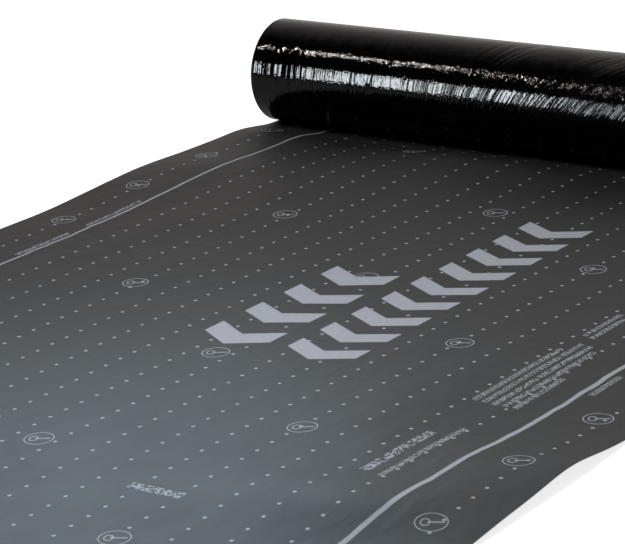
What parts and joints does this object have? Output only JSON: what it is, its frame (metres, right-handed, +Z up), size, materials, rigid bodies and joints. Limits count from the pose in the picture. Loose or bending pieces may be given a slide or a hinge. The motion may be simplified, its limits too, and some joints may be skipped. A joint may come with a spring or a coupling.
{
  "type": "roll of roofing felt",
  "caption": "Roll of coated roofing felt with its free end laid out on the floor in low waves, wound around an open bore.",
  "frame": {"origin": "on the floor, under the middle of the whole part's box", "axes": "+X along the roll's axis, -Y towards the sheet's free end, +Z up"},
  "size_m": [1.219, 1.7855, 0.1709],
  "materials": {
    "felt": "charcoal grey printed face, glossy black back"
  },
  "bodies": {
    "root": {"roofing_felt": "felt"}
  },
  "joints": []
}
